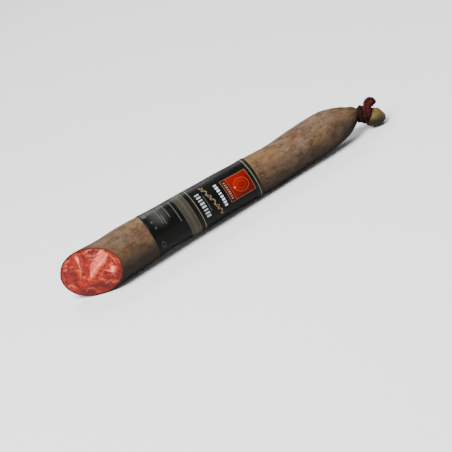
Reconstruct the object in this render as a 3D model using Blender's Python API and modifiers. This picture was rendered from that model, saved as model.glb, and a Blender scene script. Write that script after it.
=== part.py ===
"""A cured sausage, cut on the slant at one end and tied with string at the other, in a printed paper band.

It lies along X on z = 0 with the cut end at -X and the tied end at +X. Metres, +Z up.
"""

import math

import bmesh
import bpy
import numpy as np
from mathutils import Matrix, Vector

# Driving dimensions, in metres. "Along" is the distance from the point where the knife crosses the middle.
# Body: (along, radius, height of the underside above the table). Below zero it is pressed flat on the table.
BODY = (
    (-0.036, 0.0277, -0.0003),
    (0.000, 0.0273, -0.0003),
    (0.022, 0.0269, -0.0003),
    (0.034, 0.0265, 0.0005),
    (0.054, 0.0257, 0.0013),
    (0.068, 0.0250, 0.0021),
    (0.080, 0.0243, 0.0028),
    (0.098, 0.0239, 0.0029),
    (0.120, 0.0237, 0.0023),
    (0.142, 0.0235, 0.0017),
    (0.165, 0.0231, 0.0015),
    (0.190, 0.0224, 0.0012),
    (0.202, 0.0225, 0.0011),
    (0.212, 0.0228, 0.0000),
    (0.222, 0.0227, -0.0003),
    (0.236, 0.0224, -0.0003),
    (0.252, 0.0223, 0.0004),
    (0.270, 0.0225, 0.0008),
    (0.286, 0.0227, 0.0011),
    (0.298, 0.0223, 0.0018),
    (0.308, 0.0210, 0.0029),
    (0.320, 0.0177, 0.0055),
    (0.328, 0.0141, 0.0089),
    (0.334, 0.0103, 0.0126),
)
# The gathered neck under the string, then the bulb of spare casing beyond it.
NECK_START = 0.3405
NECK_END = 0.3539
NECK_RADIUS = 0.0054
# Bulb: (distance past the neck, radius, offset to the -Y side, offset down)
BULB = (
    (0.0000, 0.0054, 0.0000, 0.0000),
    (0.0018, 0.0088, 0.0013, 0.0015),
    (0.0040, 0.0107, 0.0028, 0.0015),
    (0.0070, 0.0110, 0.0037, 0.0004),
    (0.0106, 0.0097, 0.0041, 0.0001),
    (0.0139, 0.0073, 0.0042, -0.0004),
    (0.0164, 0.0046, 0.0042, -0.0007),
    (0.0179, 0.0024, 0.0043, -0.0009),
    (0.0185, 0.0000, 0.0043, -0.0010),
)
# The tied end droops: (along, degrees down), and it turns a little to the -Y side: (along, degrees).
DROOP = ((0.334, 0), (0.3415, 29), (0.354, 29), (0.3575, 46), (0.361, 43), (0.366, 28), (0.3723, 12))
TURN = ((0.334, 0), (0.3415, -12), (0.354, -12), (0.3575, -30), (0.361, -28), (0.366, -14), (0.3723, -8))

# Gathers in the casing beside the string, deepest at the neck: (along, depth as a share of the radius).
PLEATS = 8
PLEAT_DEPTH = ((0.292, 0.0), (0.310, 0.015), (0.328, 0.05), (0.3385, 0.05), (0.3415, 0.0),
               (0.3530, 0.0), (0.3565, 0.04), (0.363, 0.02), (0.373, 0.0))
LUMP = 0.0002

# The knife plane leans from square: metres along X for each metre across and each metre up.
CUT_ACROSS = -1.08
CUT_UP = 0.14
KNIFE_SIZE = 0.16

# The printed band
BAND_START = 0.0713
BAND_END = 0.2023
BAND_THICKNESS = 0.0003
GAP = 0.0003

# The string: turns round the neck, the last ones looser, lower and leaning (degrees), and a loop left standing
STRING = 0.0036
TURNS = 4
TURN_PITCH = 0.0027
TURN_SLACK = (0.0003, 0.0, 0.0005, 0.0014)
TURN_DROP = (0.0, 0.0, 0.0002, 0.0008)
TURN_TILT = (2.0, -2.0, -6.0, -14.0)
KNOT = (0.0030, 0.0024, 0.0034)
KNOT_PLACE = (0.0032, -0.0086, 0.0052)
# Loop of string, and the string's cut end that lies up inside it: (along the neck, across to +Y, up)
LOOP = (
    (0.0000, -0.0075, -0.0030),
    (-0.0006, -0.0096, 0.0020),
    (-0.0009, -0.0085, 0.0066),
    (0.0003, -0.0054, 0.0103),
    (0.0021, -0.0017, 0.0141),
    (0.0060, 0.0004, 0.0166),
    (0.0108, 0.0008, 0.0159),
    (0.0136, 0.0006, 0.0134),
    (0.0116, 0.0002, 0.0114),
    (0.0080, -0.0018, 0.0106),
    (0.0050, -0.0062, 0.0086),
    (0.0038, -0.0094, 0.0036),
    (0.0030, -0.0085, -0.0025),
)
CUT_END = (
    (0.0015, -0.0085, -0.0010),
    (0.0016, -0.0083, 0.0040),
    (0.0026, -0.0060, 0.0088),
    (0.0046, -0.0026, 0.0118),
    (0.0076, -0.0010, 0.0133),
    (0.0100, -0.0006, 0.0134),
)

# Fineness of the meshes
AROUND = 56
BODY_RINGS = 19
BAND_RINGS = 11
BELLY_RINGS = 12
TAPER_RINGS = 14
NECK_RINGS = 10
BULB_RINGS = 14
LOOP_STEPS = 32
CUT_END_STEPS = 14


def through(stations, along, column=1):
    """Smooth value at each place along, through (place, value, ...) stations."""
    places = np.array([station[0] for station in stations])
    values = np.array([station[column] for station in stations])
    slopes = np.gradient(values, places)
    along = np.clip(along, places[0], places[-1])
    left = np.clip(np.searchsorted(places, along) - 1, 0, len(places) - 2)
    width = places[left + 1] - places[left]
    t = (along - places[left]) / width
    start = (2 * t**3 - 3 * t**2 + 1) * values[left] + (t**3 - 2 * t**2 + t) * width * slopes[left]
    end = (3 * t**2 - 2 * t**3) * values[left + 1] + (t**3 - t**2) * width * slopes[left + 1]
    return start + end


def radius_at(along):
    """Mean radius of the body, neck and bulb."""
    bulb = tuple((NECK_END + row[0], row[1]) for row in BULB)
    return through(tuple(row[:2] for row in BODY) + ((NECK_START, NECK_RADIUS),) + bulb, along)


def drooping_end():
    """Fine steps along the middle line of the tied end, with its points and its directions there."""
    steps = np.linspace(BODY[-1][0], NECK_END + BULB[-1][0], 400)
    down = np.radians(through(DROOP, steps))
    turn = np.radians(through(TURN, steps))
    forward = np.stack([np.cos(down) * np.cos(turn), np.cos(down) * np.sin(turn), -np.sin(down)], axis=1)
    walk = np.cumsum((forward[1:] + forward[:-1]) / 2 * (steps[1] - steps[0]), axis=0)
    first = (BODY[-1][0], 0.0, BODY[-1][1] + BODY[-1][2])
    return steps, np.vstack([np.zeros(3), walk]) + first, forward


def centre_and_axes(along):
    """Points of the middle line, with the directions along it, across it to +Y, and up."""
    along = np.asarray(along, dtype=float)
    steps, walk, forward = drooping_end()
    place = np.stack([np.interp(along, steps, walk[:, i]) for i in range(3)], axis=-1)
    ahead = np.stack([np.interp(along, steps, forward[:, i]) for i in range(3)], axis=-1)
    straight = along < steps[0]
    place[straight, 0] = along[straight]
    place[straight, 2] = (radius_at(along) + through(BODY, along, 2))[straight]
    ahead[straight] = (1.0, 0.0, 0.0)
    ahead /= np.linalg.norm(ahead, axis=-1, keepdims=True)
    across = np.cross((0.0, 0.0, 1.0), ahead)
    across /= np.linalg.norm(across, axis=-1, keepdims=True)
    up = np.cross(ahead, across)
    past_neck = along - NECK_END
    place -= through(BULB, past_neck, 2)[:, None] * across + through(BULB, past_neck, 3)[:, None] * up
    return place, ahead, across, up


def skin(along, angle, offset=0.0):
    """Points on the casing, or offset from it. The angle runs from +Y up over the top."""
    gathers = np.cos(PLEATS * angle + 0.7 * np.sin(2 * angle) + 40 * (along - NECK_START))
    lumps = LUMP * (np.sin(95 * along + 2 * angle) + np.sin(61 * along - 3 * angle + 1.3))
    radius = radius_at(along)
    full = np.clip(radius / 0.020, 0.0, 1.0)
    radius = radius * (1 + through(PLEAT_DEPTH, along) * gathers) + lumps * full + offset
    place, _, across, up = centre_and_axes(along)
    points = place + (radius * np.cos(angle))[:, None] * across + (radius * np.sin(angle))[:, None] * up
    points[:, 2] = np.maximum(points[:, 2], 0.0)
    return points


def material(name, colour, roughness):
    """Plain Principled material."""
    new = bpy.data.materials.new(name)
    new.use_nodes = True
    shader = new.node_tree.nodes["Principled BSDF"]
    shader.inputs["Base Color"].default_value = (*colour, 1.0)
    shader.inputs["Roughness"].default_value = roughness
    shader.inputs["Metallic"].default_value = 0.0
    return new


def add(name, mesh, collection):
    """New object in a collection."""
    new = bpy.data.objects.new(name, mesh)
    collection.objects.link(new)
    return new


def evaluated_copy(source, name, collection):
    """Real mesh of what an object's modifiers or bevel make, in place of that object."""
    bpy.context.view_layer.update()
    graph = bpy.context.evaluated_depsgraph_get()
    mesh = bpy.data.meshes.new_from_object(source.evaluated_get(graph))
    mesh.transform(source.matrix_world)
    bpy.data.objects.remove(source)
    return add(name, mesh, collection)


def turned(name, places, radii, collection):
    """Turned surface whose own Z axis runs backwards along the sausage."""
    mesh = bpy.data.meshes.new(name + "_profile")
    points = [(radius, 0.0, -place) for place, radius in zip(places, radii)]
    mesh.from_pydata(points, [(i, i + 1) for i in range(len(points) - 1)], [])
    profile = add(name + "_profile", mesh, collection)
    screw = profile.modifiers.new("turn", "SCREW")
    screw.steps = AROUND
    screw.render_steps = AROUND
    screw.use_merge_vertices = True
    screw.merge_threshold = 0.00001
    return evaluated_copy(profile, name, collection)


def wrap(turned_object, offset=0.0):
    """Moves a turned surface's points on to the casing, or to an offset from it."""
    mesh = turned_object.data
    points = np.empty(len(mesh.vertices) * 3)
    mesh.vertices.foreach_get("co", points)
    points = points.reshape(-1, 3)
    along = -points[:, 2]
    angle = np.arctan2(points[:, 0], points[:, 1])
    moved = skin(along, angle, offset)
    on_axis = np.hypot(points[:, 0], points[:, 1]) < 1e-6
    moved[on_axis] = centre_and_axes(along)[0][on_axis]
    mesh.vertices.foreach_set("co", moved.ravel())
    mesh.update()


def shade(target, degrees):
    """Smooth shading with sharp edges past an angle."""
    target.data.shade_smooth()
    target.data.set_sharp_from_angle(angle=math.radians(degrees))


def band_places():
    """Rings along the band, shared by the band and the casing under it."""
    return np.linspace(BAND_START, BAND_END, BAND_RINGS)


def make_sausage(collection, cutters):
    """Meat and casing in one solid: body, gathered neck and bulb, cut on the slant."""
    start = BODY[0][0]
    body = np.linspace(start, BAND_START, BODY_RINGS, endpoint=False)
    belly = np.linspace(BAND_END, PLEAT_DEPTH[0][0], BELLY_RINGS + 1)[1:-1]
    taper = np.linspace(PLEAT_DEPTH[0][0], BODY[-1][0], TAPER_RINGS, endpoint=False)
    neck = np.linspace(BODY[-1][0], NECK_END, NECK_RINGS, endpoint=False)
    bulb = np.linspace(NECK_END, NECK_END + BULB[-1][0], BULB_RINGS)
    places = np.concatenate([[start], body, band_places(), belly, taper, neck, bulb])
    radii = radius_at(places)
    radii[0] = 0.0
    radii[-1] = 0.0
    sausage = turned("sausage", places, radii, collection)
    wrap(sausage)
    sausage.data.materials.append(material("casing_and_meat", (0.27, 0.17, 0.11), 0.6))
    shade(sausage, 50)

    outward = Vector((-1.0, CUT_ACROSS, CUT_UP)).normalized()
    middle = Vector((0.0, 0.0, BODY[1][1] + BODY[1][2]))
    bpy.ops.mesh.primitive_cube_add(size=KNIFE_SIZE, location=middle + outward * KNIFE_SIZE / 2)
    knife = bpy.context.object
    knife.name = "knife"
    knife.rotation_mode = "QUATERNION"
    knife.rotation_quaternion = outward.to_track_quat("X", "Z")
    knife.hide_render = True
    knife.display_type = "WIRE"
    move_to(knife, cutters)
    cut = sausage.modifiers.new("slant_cut", "BOOLEAN")
    cut.operation = "DIFFERENCE"
    cut.object = knife
    cut.solver = "EXACT"
    return sausage


def make_band(collection):
    """Printed paper band, a thin sleeve just clear of the casing."""
    places = band_places()
    band = turned("label", places, radius_at(places), collection)
    wrap(band, GAP)
    thickness = band.modifiers.new("paper", "SOLIDIFY")
    thickness.thickness = BAND_THICKNESS
    thickness.offset = 1.0
    band.data.materials.append(material("black_band", (0.02, 0.02, 0.018), 0.35))
    shade(band, 50)
    return band


def move_to(target, collection):
    """Takes an object out of its collections and puts it in one."""
    for old in list(target.users_collection):
        old.objects.unlink(target)
    collection.objects.link(target)


def smooth_route(points, count):
    """Points of a smooth curve through a hand-chosen route."""
    route = np.array(points)
    lengths = np.concatenate([[0.0], np.cumsum(np.linalg.norm(np.diff(route, axis=0), axis=1))])
    steps = np.linspace(0.0, lengths[-1], count)
    columns = [through(tuple(zip(lengths, route[:, i])), steps) for i in range(3)]
    return np.stack(columns, axis=1)


def make_strand(name, points, collection):
    """Length of string along a row of points, closed at both ends."""
    curve = bpy.data.curves.new(name, "CURVE")
    curve.dimensions = "3D"
    curve.bevel_depth = STRING / 2
    curve.bevel_resolution = 2
    curve.use_fill_caps = True
    spline = curve.splines.new("POLY")
    spline.points.add(len(points) - 1)
    for point, place in zip(spline.points, points):
        point.co = (*place, 1.0)
    strand = evaluated_copy(add(name + "_curve", curve, collection), name, collection)
    weld(strand.data)


def make_tie(collection, pieces):
    """String tie: turns round the neck, the knot, the loop and the cut end, joined into one solid."""
    middle, ahead, across, up = centre_and_axes(np.array([(NECK_START + NECK_END) / 2]))
    middle, ahead, across, up = (Vector(row[0]) for row in (middle, ahead, across, up))
    ring_radius = NECK_RADIUS + GAP + STRING / 2
    for i in range(TURNS):
        tilt = math.radians(TURN_TILT[i])
        axis = (ahead + up * math.sin(tilt)).normalized()
        bpy.ops.mesh.primitive_torus_add(
            major_segments=30,
            minor_segments=8,
            major_radius=ring_radius + TURN_SLACK[i],
            minor_radius=STRING / 2,
            location=middle + ahead * TURN_PITCH * (i - (TURNS - 1) / 2) - up * TURN_DROP[i],
            rotation=axis.to_track_quat("Z", "Y").to_euler(),
        )
        bpy.context.object.name = f"turn_{i + 1}"
        move_to(bpy.context.object, pieces)

    for name, route, count in (("loop", LOOP, LOOP_STEPS), ("cut_end", CUT_END, CUT_END_STEPS)):
        forward, side, rise = smooth_route(route, count).T
        points = np.array(middle) + np.outer(forward, ahead) + np.outer(side, across) + np.outer(rise, up)
        make_strand(name, points, pieces)

    forward, side, rise = KNOT_PLACE
    bpy.ops.mesh.primitive_uv_sphere_add(
        segments=16,
        ring_count=10,
        radius=1.0,
        location=middle + ahead * forward + across * side + up * rise,
    )
    knot = bpy.context.object
    knot.name = "knot"
    knot.data.transform(Matrix.Diagonal((*KNOT, 1.0)))
    move_to(knot, pieces)

    first = pieces.objects["turn_1"]
    move_to(first, collection)
    union = first.modifiers.new("joined", "BOOLEAN")
    union.operation = "UNION"
    union.operand_type = "COLLECTION"
    union.collection = pieces
    union.solver = "EXACT"
    tie = evaluated_copy(first, "string_tie", collection)
    keep_outer_shell(tie.data)
    for piece in list(pieces.objects):
        bpy.data.objects.remove(piece)
    tie.data.materials.clear()
    tie.data.materials.append(material("dark_red_string", (0.10, 0.02, 0.02), 0.7))
    shade(tie, 40)
    return tie


def weld(mesh):
    """Joins a tube's loose caps to it."""
    shape = bmesh.new()
    shape.from_mesh(mesh)
    bmesh.ops.remove_doubles(shape, verts=shape.verts, dist=0.00001)
    shape.to_mesh(mesh)
    shape.free()


def keep_outer_shell(mesh):
    """Fills the hollows that joining sealed, by keeping only the largest connected surface."""
    shape = bmesh.new()
    shape.from_mesh(mesh)
    waiting = set(shape.verts)
    shells = []
    while waiting:
        shell = set()
        reach = [waiting.pop()]
        while reach:
            vert = reach.pop()
            shell.add(vert)
            near = {edge.other_vert(vert) for edge in vert.link_edges} & waiting
            waiting -= near
            reach += near
        shells.append(shell)
    shells.sort(key=len)
    for shell in shells[:-1]:
        bmesh.ops.delete(shape, geom=list(shell), context="VERTS")
    shape.to_mesh(mesh)
    shape.free()


def stand_over_origin(objects):
    """Parents the parts to an empty that puts the middle of their box over the origin."""
    bpy.context.view_layer.update()
    graph = bpy.context.evaluated_depsgraph_get()
    corners = []
    for part in objects:
        mesh = part.evaluated_get(graph).to_mesh()
        points = np.empty(len(mesh.vertices) * 3)
        mesh.vertices.foreach_get("co", points)
        points = points.reshape(-1, 3)
        corners += [points.min(axis=0), points.max(axis=0)]
        part.evaluated_get(graph).to_mesh_clear()
    middle = (np.min(corners, axis=0) + np.max(corners, axis=0)) / 2
    root = add("cured_sausage", None, objects[0].users_collection[0])
    root.location = (-middle[0], -middle[1], 0.0)
    return root


def main():
    """Builds the whole sausage."""
    for old in list(bpy.data.objects):
        bpy.data.objects.remove(old)
    parts = bpy.data.collections.new("cured sausage")
    cutters = bpy.data.collections.new("cutters")
    pieces = bpy.data.collections.new("tie pieces")
    for collection in (parts, cutters, pieces):
        bpy.context.scene.collection.children.link(collection)
    sausage = make_sausage(parts, cutters)
    objects = [sausage, make_band(parts), make_tie(parts, pieces)]
    root = stand_over_origin(objects)
    for part in objects + list(cutters.objects):
        part.parent = root


main()
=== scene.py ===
# %% [markdown]
# A cured sausage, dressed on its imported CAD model
#
# The sausage lies on a table with its cut end to the left and its tied end to the right. The solids already
# have the right size and shape, so each piece made here follows them and only adds what solids are too
# plain for: wrinkles, marbled meat, print and twisted string. Everything is in metres, with Z up.

# %% Load the solids
import math

import bpy
import numpy as np
from mathutils import Matrix, Vector


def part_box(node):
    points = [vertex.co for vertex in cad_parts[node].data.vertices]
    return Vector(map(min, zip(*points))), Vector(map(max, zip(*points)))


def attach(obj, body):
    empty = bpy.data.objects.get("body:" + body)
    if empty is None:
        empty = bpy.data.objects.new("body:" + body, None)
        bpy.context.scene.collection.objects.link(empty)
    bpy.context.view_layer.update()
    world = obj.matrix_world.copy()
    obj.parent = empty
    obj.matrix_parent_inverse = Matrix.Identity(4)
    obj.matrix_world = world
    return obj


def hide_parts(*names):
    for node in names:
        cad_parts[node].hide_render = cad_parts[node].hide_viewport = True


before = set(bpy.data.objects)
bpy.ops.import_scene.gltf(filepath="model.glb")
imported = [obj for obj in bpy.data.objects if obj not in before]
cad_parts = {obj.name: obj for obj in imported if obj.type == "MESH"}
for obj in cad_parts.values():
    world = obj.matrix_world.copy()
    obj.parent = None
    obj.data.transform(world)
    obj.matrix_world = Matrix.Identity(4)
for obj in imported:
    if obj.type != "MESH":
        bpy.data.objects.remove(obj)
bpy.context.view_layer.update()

# %% [markdown]
# The measured shape
#
# The body is like a long turned spindle that sags on to the table. It could be sculpted by eye, but then
# nothing laid on it would fit. Instead the same measured stations as in the solids give a smooth function,
# skin(along, angle), and the casing, the paper band and the marbled end all ask that one function.

# %% Stations along the sausage
# Body: (along, radius, height of the underside above the table)
BODY = (
    (-0.036, 0.0277, -0.0003),
    (0.000, 0.0273, -0.0003),
    (0.022, 0.0269, -0.0003),
    (0.034, 0.0265, 0.0005),
    (0.054, 0.0257, 0.0013),
    (0.068, 0.0250, 0.0021),
    (0.080, 0.0243, 0.0028),
    (0.098, 0.0239, 0.0029),
    (0.120, 0.0237, 0.0023),
    (0.142, 0.0235, 0.0017),
    (0.165, 0.0231, 0.0015),
    (0.190, 0.0224, 0.0012),
    (0.202, 0.0225, 0.0011),
    (0.212, 0.0228, 0.0000),
    (0.222, 0.0227, -0.0003),
    (0.236, 0.0224, -0.0003),
    (0.252, 0.0223, 0.0004),
    (0.270, 0.0225, 0.0008),
    (0.286, 0.0227, 0.0011),
    (0.298, 0.0223, 0.0018),
    (0.308, 0.0210, 0.0029),
    (0.320, 0.0177, 0.0055),
    (0.328, 0.0141, 0.0089),
    (0.334, 0.0103, 0.0126),
)
NECK_START = 0.3405
NECK_END = 0.3539
NECK_RADIUS = 0.0054
# Bulb of spare casing: (distance past the neck, radius, offset to the -Y side, offset down)
BULB = (
    (0.0000, 0.0054, 0.0000, 0.0000),
    (0.0018, 0.0088, 0.0013, 0.0015),
    (0.0040, 0.0107, 0.0028, 0.0015),
    (0.0070, 0.0110, 0.0037, 0.0004),
    (0.0106, 0.0097, 0.0041, 0.0001),
    (0.0139, 0.0073, 0.0042, -0.0004),
    (0.0164, 0.0046, 0.0042, -0.0007),
    (0.0179, 0.0024, 0.0043, -0.0009),
    (0.0185, 0.0000, 0.0043, -0.0010),
)
# The tied end droops and turns a little to the -Y side: (along, degrees)
DROOP = ((0.334, 0), (0.3415, 29), (0.354, 29), (0.3575, 46), (0.361, 43), (0.366, 28), (0.3723, 12))
TURN = ((0.334, 0), (0.3415, -12), (0.354, -12), (0.3575, -30), (0.361, -28), (0.366, -14), (0.3723, -8))
PLEATS = 8
PLEAT_DEPTH = ((0.292, 0.0), (0.310, 0.015), (0.328, 0.05), (0.3385, 0.05), (0.3415, 0.0),
               (0.3530, 0.0), (0.3565, 0.04), (0.363, 0.02), (0.373, 0.0))
LUMP = 0.0002
# The knife plane leans from square: metres along for each metre across and each metre up.
CUT_ACROSS = -1.08
CUT_UP = 0.14
BAND_START = 0.0713
BAND_END = 0.2023
# The solids' frame has its origin under the middle of their box; the band's box tells where that is.
band_low, band_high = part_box("label")
ORIGIN = np.array((BAND_START - band_low.x, -(band_low.y + band_high.y) / 2, 0.0))
print(len(BODY), "body stations; the origin is", round(ORIGIN[0] * 1000, 2), "mm along")

# %% Two soft curves
def ramp(past, width):
    """Zero until a place is passed, then straight up to one: past / width, kept between 0 and 1."""
    return np.clip(past / width, 0.0, 1.0)


def bell(off, width):
    """One in the middle, fading both ways: exp(-(off / width)^2)."""
    return np.exp(-(off / width) ** 2)


print("a bell one width off its middle is", round(float(bell(1.0, 1.0)), 2))

# %% The middle line and the skin
FULL_RADIUS = 0.020


def through(stations, along, column=1):
    """Smooth value through stations: in each gap the cubic with the right height and slope at both ends."""
    places = np.array([station[0] for station in stations])
    values = np.array([station[column] for station in stations])
    slopes = np.gradient(values, places)
    along = np.clip(along, places[0], places[-1])
    left = np.clip(np.searchsorted(places, along) - 1, 0, len(places) - 2)
    width = places[left + 1] - places[left]
    t = (along - places[left]) / width
    start = (2 * t**3 - 3 * t**2 + 1) * values[left] + (t**3 - 2 * t**2 + t) * width * slopes[left]
    end = (3 * t**2 - 2 * t**3) * values[left + 1] + (t**3 - t**2) * width * slopes[left + 1]
    return start + end


def radius_at(along):
    """Mean radius of the body, neck and bulb, the smooth value through all their stations."""
    bulb = tuple((NECK_END + row[0], row[1]) for row in BULB)
    return through(tuple(row[:2] for row in BODY) + ((NECK_START, NECK_RADIUS),) + bulb, along)


def drooping_end():
    """Middle line of the tied end: each step goes on by the direction that the droop and the turn give."""
    steps = np.linspace(BODY[-1][0], NECK_END + BULB[-1][0], 400)
    down = np.radians(through(DROOP, steps))
    turn = np.radians(through(TURN, steps))
    forward = np.stack([np.cos(down) * np.cos(turn), np.cos(down) * np.sin(turn), -np.sin(down)], axis=1)
    walk = np.cumsum((forward[1:] + forward[:-1]) / 2 * (steps[1] - steps[0]), axis=0)
    first = (BODY[-1][0], 0.0, BODY[-1][1] + BODY[-1][2])
    return steps, np.vstack([np.zeros(3), walk]) + first, forward


def centre_and_axes(along):
    """Middle line at each place, with the directions along it, across to +Y (up x along), and up."""
    along = np.asarray(along, dtype=float)
    steps, walk, forward = drooping_end()
    place = np.stack([np.interp(along, steps, walk[:, i]) for i in range(3)], axis=-1)
    ahead = np.stack([np.interp(along, steps, forward[:, i]) for i in range(3)], axis=-1)
    straight = along < steps[0]
    place[straight, 0] = along[straight]
    place[straight, 2] = (radius_at(along) + through(BODY, along, 2))[straight]
    ahead[straight] = (1.0, 0.0, 0.0)
    ahead /= np.linalg.norm(ahead, axis=-1, keepdims=True)
    across = np.cross((0.0, 0.0, 1.0), ahead)
    across /= np.linalg.norm(across, axis=-1, keepdims=True)
    up = np.cross(ahead, across)
    past_neck = along - NECK_END
    place -= through(BULB, past_neck, 2)[:, None] * across + through(BULB, past_neck, 3)[:, None] * up
    return place, ahead, across, up


def skin(along, angle, offset=0.0):
    """Place on the casing: middle line + radius x (cos angle across + sin angle up), not below the table."""
    gathers = np.cos(PLEATS * angle + 0.7 * np.sin(2 * angle) + 40 * (along - NECK_START))
    lumps = LUMP * (np.sin(95 * along + 2 * angle) + np.sin(61 * along - 3 * angle + 1.3))
    radius = radius_at(along)
    radius = radius * (1 + through(PLEAT_DEPTH, along) * gathers) + lumps * ramp(radius, FULL_RADIUS) + offset
    place, _, across, up = centre_and_axes(along)
    points = place + (radius * np.cos(angle))[:, None] * across + (radius * np.sin(angle))[:, None] * up
    points[:, 2] = np.maximum(points[:, 2], 0.0)
    return points - ORIGIN


band_edge = skin(np.full(2, BAND_START), np.radians([0.0, 180.0]))
print("band edge at x", round(band_edge[0, 0] * 1000, 2), "mm; the solid's at", round(band_low.x * 1000, 2))

# %% [markdown]
# Randomness that stays put
#
# Dried casing and minced meat are uneven at every scale. Blender has noise textures for colour, but a
# wrinkle that catches the light has to be in the mesh. A small noise function of our own gives the same
# wrinkles each time: random heights on the corners of a lattice, blended smoothly in between.

# %% Noise for whole arrays of points
def noise(points, seed):
    """Smooth random value, -1 to 1: each lattice corner's height x its share, 3t^2 - 2t^3 each way."""
    cell = np.floor(points).astype(np.int64)
    share = points - cell
    share = share * share * (3 - 2 * share)
    total = np.zeros(points.shape[:-1])
    for corner in np.ndindex(2, 2, 2):
        key = (cell + corner) @ np.array((73856093, 19349663, 83492791)) + seed * 2654435761
        key = (key ^ (key >> 13)) * 1274126177
        height = ((key ^ (key >> 16)) & 0xFFFF) / 32767.5 - 1
        total += height * np.prod(np.where(corner, share, 1 - share), axis=-1)
    return total


def layered(points, seed):
    """Noise + half of it at twice the fineness + a quarter at four times."""
    return sum(noise(points * 2**i, seed + i) / 2**i for i in range(3))


def ridged(points, seed):
    """Sharp ridges where the noise crosses zero: 1 - its size."""
    return 1 - np.abs(noise(points, seed))


probe = layered(np.random.default_rng(1).uniform(0, 50, (5000, 3)), 3)
print("noise runs from", round(probe.min(), 2), "to", round(probe.max(), 2))

# %% [markdown]
# From rings of points to a mesh
#
# Every round piece here is a stack of rings. Blender could lathe or skin them with modifiers, but writing
# the faces as arrays is quicker and leaves full control over where each point goes. The columns run
# from +Y up over the top, so this order of corners makes every face look outwards.

# %% Mesh helpers
def new_piece(name, points, faces, node):
    """Smooth-shaded object of these points and faces that stands in for a solid and rides with it."""
    mesh = bpy.data.meshes.new(name)
    mesh.from_pydata(points.tolist(), [], faces)
    mesh.shade_smooth()
    piece = bpy.data.objects.new(name, mesh)
    bpy.context.scene.collection.objects.link(piece)
    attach(piece, "root")
    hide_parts(node)
    return piece


def quads(rows, columns, closed=True):
    """Corners of the faces between rows of points: this one, next column, next row and column, next row."""
    i, j = np.meshgrid(np.arange(rows - 1), np.arange(columns if closed else columns - 1), indexing="ij")
    k = (j + 1) % columns
    this, after = i * columns, (i + 1) * columns
    corners = np.stack([this + j, this + k, after + k, after + j], axis=-1)
    return corners.reshape(-1, 4).tolist()


def fan(pole, ring, backwards=False):
    """Triangles from one pole to a closed ring: pole, a point and the next; backwards looks the other way."""
    after = np.roll(ring, -1)
    sides = (after, ring) if backwards else (ring, after)
    return np.stack([np.full(len(ring), pole), *sides], axis=-1).tolist()


def capped_rings(rings):
    """Points and faces of a stack of closed rings with a pole in the middle of each end."""
    rows, columns = rings.shape[:2]
    points = np.vstack([rings.reshape(-1, 3), rings[0].mean(axis=0), rings[-1].mean(axis=0)])
    last = rows * columns
    faces = quads(rows, columns)
    faces += fan(last, np.arange(columns), backwards=True)
    faces += fan(last + 1, np.arange(columns) + last - columns)
    return points, faces


def give_values(piece, name, values):
    """Stores one number on each point, for the materials to read."""
    layer = piece.data.attributes.new(name, "FLOAT", "POINT")
    layer.data.foreach_set("value", np.asarray(values, dtype=np.float32))


print("mesh helpers ready")

# %% [markdown]
# The casing
#
# The casing is a natural skin that dried on to the meat: matt, finely wrinkled lengthways, with broad soft
# hollows, and gathered into creases where the string pulls it in. It is made as one closed shell: the
# outer skin, a thin lip at the knife cut, and a shallow recess behind the lip that holds the meat.

# %% Wrinkles on the casing
CASING_AROUND = 240
CASING_THICKNESS = 0.0006
HOLLOW = 0.00022
WRINKLE = 0.00013
CREASE = 0.03
CREASE_FOLDS = 19
# Lattice cells a metre along, across and up
HOLLOW_CELLS = (42, 70, 70)
WRINKLE_CELLS = (95, 520, 520)
FINE_CELLS = (240, 1100, 1100)
TAPER_START = 0.285


def casing_relief(along, angle):
    """Height on the skin: hollows (broad noise) - wrinkles (ridges of noise), none under the band."""
    place = skin(along, angle)
    hollows = layered(place * HOLLOW_CELLS, 11) * HOLLOW
    ridges = ridged(place * WRINKLE_CELLS, 21) ** 3 + 0.5 * ridged(place * FINE_CELLS, 31) ** 3
    wrinkles = -ridges * WRINKLE * (0.7 + 1.3 * ramp(along - TAPER_START, 0.04))
    off_band = ramp(np.maximum(BAND_START - along, along - BAND_END), 0.004)
    return (hollows - HOLLOW * 0.3 + wrinkles) * off_band * ramp(radius_at(along), 0.012)


def creases(along, angle):
    """Sharper gathers by the string: share of the radius x a ridged wave of folds that wander."""
    wander = 1.1 * np.sin(3 * angle + 60 * along) + 0.6 * np.sin(5 * angle + 1.0)
    fold = 1 - 2 * np.abs(np.sin((CREASE_FOLDS * angle + wander) / 2))
    before = bell(along - NECK_START, 0.014) * (along < NECK_START)
    beyond = bell(along - NECK_END, 0.003) * (along > NECK_END)
    return CREASE * fold * (before + 0.5 * beyond) * radius_at(along)


PUFF = 0.0010
TUCK = 0.0026


def by_string(along, angle):
    """Puff and tuck: the taper swells before the string, and the bulb's underside slides back below it."""
    low = (0.5 - 0.5 * np.sin(angle - 0.3)) ** 1.5
    puff = PUFF * bell(along - NECK_START + 0.0030, 0.0036)
    return puff, TUCK * low * bell(along - NECK_END - 0.0012, 0.0023)


def casing_point(along, angle):
    """Point of the finished skin: the measured skin + relief + creases + puff, moved back by the tuck."""
    puff, tuck = by_string(along, angle)
    points = skin(along, angle, casing_relief(along, angle) + creases(along, angle) + puff)
    return points - tuck[:, None] * centre_and_axes(along)[1]


print("wrinkles up to", WRINKLE * 1000, "mm and hollows up to", HOLLOW * 1000, "mm")

# %% Where the knife crosses the skin
MIDDLE = np.array((0.0, 0.0, BODY[1][1] + BODY[1][2])) - ORIGIN
OUT = np.array((-1.0, CUT_ACROSS, CUT_UP))
OUT /= np.linalg.norm(OUT)
# Directions on the cut face, as seen by someone facing it
FACE_RIGHT = np.cross((0.0, 0.0, 1.0), OUT)
FACE_RIGHT /= np.linalg.norm(FACE_RIGHT)
FACE_UP = np.cross(OUT, FACE_RIGHT)
CUT_STEPS = 14


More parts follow.
